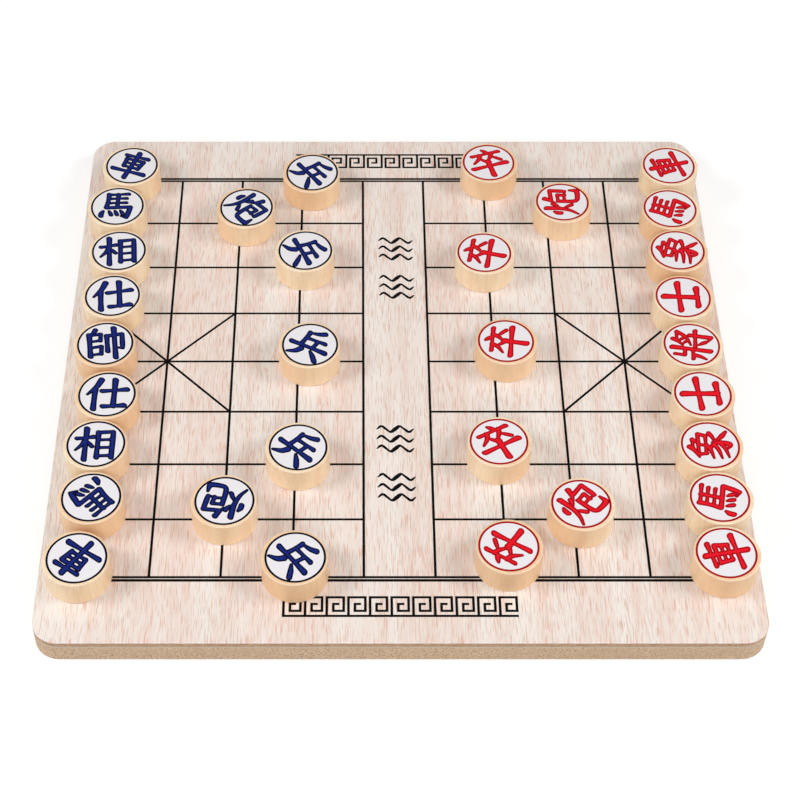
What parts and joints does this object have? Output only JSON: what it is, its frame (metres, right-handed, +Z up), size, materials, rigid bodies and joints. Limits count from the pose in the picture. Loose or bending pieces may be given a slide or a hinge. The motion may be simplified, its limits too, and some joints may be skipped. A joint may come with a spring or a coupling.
{
  "type": "xiangqi board game set",
  "caption": "Xiangqi set: thick square wooden board with rounded corners, printed grid with a river, and round wooden chessmen standing on it that lift off.",
  "frame": {"origin": "middle of the board's underside, on the surface that the board lies on", "axes": "+Z up through the board's thickness; Y along the river, with +Y the far side; +X from the river towards the red side"},
  "size_m": [0.303, 0.302, 0.0255],
  "materials": {
    "fibreboard": "sanded, lacquered edge",
    "pale_veneer": "sanded, lacquered edge",
    "printed_panel": "satin lacquer over a printed beech pattern",
    "turned_wood": "sanded, satin"
  },
  "bodies": {
    "board": {"mdf_core": "fibreboard", "pale_veneer": "pale_veneer", "printed_top_panel": "printed_panel"},
    "blue_advisor_1": {"blue_advisor_1": "turned_wood"},
    "blue_advisor_2": {"blue_advisor_2": "turned_wood"},
    "blue_cannon_1": {"blue_cannon_1": "turned_wood"},
    "blue_cannon_2": {"blue_cannon_2": "turned_wood"},
    "blue_chariot_1": {"blue_chariot_1": "turned_wood"},
    "blue_chariot_2": {"blue_chariot_2": "turned_wood"},
    "blue_elephant_1": {"blue_elephant_1": "turned_wood"},
    "blue_elephant_2": {"blue_elephant_2": "turned_wood"},
    "blue_general": {"blue_general": "turned_wood"},
    "blue_horse_1": {"blue_horse_1": "turned_wood"},
    "blue_horse_2": {"blue_horse_2": "turned_wood"},
    "blue_soldier_1": {"blue_soldier_1": "turned_wood"},
    "blue_soldier_2": {"blue_soldier_2": "turned_wood"},
    "blue_soldier_3": {"blue_soldier_3": "turned_wood"},
    "blue_soldier_4": {"blue_soldier_4": "turned_wood"},
    "blue_soldier_5": {"blue_soldier_5": "turned_wood"},
    "red_advisor_1": {"red_advisor_1": "turned_wood"},
    "red_advisor_2": {"red_advisor_2": "turned_wood"},
    "red_cannon_1": {"red_cannon_1": "turned_wood"},
    "red_cannon_2": {"red_cannon_2": "turned_wood"},
    "red_chariot_1": {"red_chariot_1": "turned_wood"},
    "red_chariot_2": {"red_chariot_2": "turned_wood"},
    "red_elephant_1": {"red_elephant_1": "turned_wood"},
    "red_elephant_2": {"red_elephant_2": "turned_wood"},
    "red_general": {"red_general": "turned_wood"},
    "red_horse_1": {"red_horse_1": "turned_wood"},
    "red_horse_2": {"red_horse_2": "turned_wood"},
    "red_soldier_1": {"red_soldier_1": "turned_wood"},
    "red_soldier_2": {"red_soldier_2": "turned_wood"},
    "red_soldier_3": {"red_soldier_3": "turned_wood"},
    "red_soldier_4": {"red_soldier_4": "turned_wood"},
    "red_soldier_5": {"red_soldier_5": "turned_wood"}
  },
  "joints": [
    {"name": "blue_advisor_1_lift", "type": "slide", "parent": "board", "child": "blue_advisor_1", "axis": [0, 0, 1], "range_m": [0, 0.03]},
    {"name": "blue_advisor_2_lift", "type": "slide", "parent": "board", "child": "blue_advisor_2", "axis": [0, 0, 1], "range_m": [0, 0.03]},
    {"name": "blue_cannon_1_lift", "type": "slide", "parent": "board", "child": "blue_cannon_1", "axis": [0, 0, 1], "range_m": [0, 0.03]},
    {"name": "blue_cannon_2_lift", "type": "slide", "parent": "board", "child": "blue_cannon_2", "axis": [0, 0, 1], "range_m": [0, 0.03]},
    {"name": "blue_chariot_1_lift", "type": "slide", "parent": "board", "child": "blue_chariot_1", "axis": [0, 0, 1], "range_m": [0, 0.03]},
    {"name": "blue_chariot_2_lift", "type": "slide", "parent": "board", "child": "blue_chariot_2", "axis": [0, 0, 1], "range_m": [0, 0.03]},
    {"name": "blue_elephant_1_lift", "type": "slide", "parent": "board", "child": "blue_elephant_1", "axis": [0, 0, 1], "range_m": [0, 0.03]},
    {"name": "blue_elephant_2_lift", "type": "slide", "parent": "board", "child": "blue_elephant_2", "axis": [0, 0, 1], "range_m": [0, 0.03]},
    {"name": "blue_general_lift", "type": "slide", "parent": "board", "child": "blue_general", "axis": [0, 0, 1], "range_m": [0, 0.03]},
    {"name": "blue_horse_1_lift", "type": "slide", "parent": "board", "child": "blue_horse_1", "axis": [0, 0, 1], "range_m": [0, 0.03]},
    {"name": "blue_horse_2_lift", "type": "slide", "parent": "board", "child": "blue_horse_2", "axis": [0, 0, 1], "range_m": [0, 0.03]},
    {"name": "blue_soldier_1_lift", "type": "slide", "parent": "board", "child": "blue_soldier_1", "axis": [0, 0, 1], "range_m": [0, 0.03]},
    {"name": "blue_soldier_2_lift", "type": "slide", "parent": "board", "child": "blue_soldier_2", "axis": [0, 0, 1], "range_m": [0, 0.03]},
    {"name": "blue_soldier_3_lift", "type": "slide", "parent": "board", "child": "blue_soldier_3", "axis": [0, 0, 1], "range_m": [0, 0.03]},
    {"name": "blue_soldier_4_lift", "type": "slide", "parent": "board", "child": "blue_soldier_4", "axis": [0, 0, 1], "range_m": [0, 0.03]},
    {"name": "blue_soldier_5_lift", "type": "slide", "parent": "board", "child": "blue_soldier_5", "axis": [0, 0, 1], "range_m": [0, 0.03]},
    {"name": "red_advisor_1_lift", "type": "slide", "parent": "board", "child": "red_advisor_1", "axis": [0, 0, 1], "range_m": [0, 0.03]},
    {"name": "red_advisor_2_lift", "type": "slide", "parent": "board", "child": "red_advisor_2", "axis": [0, 0, 1], "range_m": [0, 0.03]},
    {"name": "red_cannon_1_lift", "type": "slide", "parent": "board", "child": "red_cannon_1", "axis": [0, 0, 1], "range_m": [0, 0.03]},
    {"name": "red_cannon_2_lift", "type": "slide", "parent": "board", "child": "red_cannon_2", "axis": [0, 0, 1], "range_m": [0, 0.03]},
    {"name": "red_chariot_1_lift", "type": "slide", "parent": "board", "child": "red_chariot_1", "axis": [0, 0, 1], "range_m": [0, 0.03]},
    {"name": "red_chariot_2_lift", "type": "slide", "parent": "board", "child": "red_chariot_2", "axis": [0, 0, 1], "range_m": [0, 0.03]},
    {"name": "red_elephant_1_lift", "type": "slide", "parent": "board", "child": "red_elephant_1", "axis": [0, 0, 1], "range_m": [0, 0.03]},
    {"name": "red_elephant_2_lift", "type": "slide", "parent": "board", "child": "red_elephant_2", "axis": [0, 0, 1], "range_m": [0, 0.03]},
    {"name": "red_general_lift", "type": "slide", "parent": "board", "child": "red_general", "axis": [0, 0, 1], "range_m": [0, 0.03]},
    {"name": "red_horse_1_lift", "type": "slide", "parent": "board", "child": "red_horse_1", "axis": [0, 0, 1], "range_m": [0, 0.03]},
    {"name": "red_horse_2_lift", "type": "slide", "parent": "board", "child": "red_horse_2", "axis": [0, 0, 1], "range_m": [0, 0.03]},
    {"name": "red_soldier_1_lift", "type": "slide", "parent": "board", "child": "red_soldier_1", "axis": [0, 0, 1], "range_m": [0, 0.03]},
    {"name": "red_soldier_2_lift", "type": "slide", "parent": "board", "child": "red_soldier_2", "axis": [0, 0, 1], "range_m": [0, 0.03]},
    {"name": "red_soldier_3_lift", "type": "slide", "parent": "board", "child": "red_soldier_3", "axis": [0, 0, 1], "range_m": [0, 0.03]},
    {"name": "red_soldier_4_lift", "type": "slide", "parent": "board", "child": "red_soldier_4", "axis": [0, 0, 1], "range_m": [0, 0.03]},
    {"name": "red_soldier_5_lift", "type": "slide", "parent": "board", "child": "red_soldier_5", "axis": [0, 0, 1], "range_m": [0, 0.03]}
  ]
}
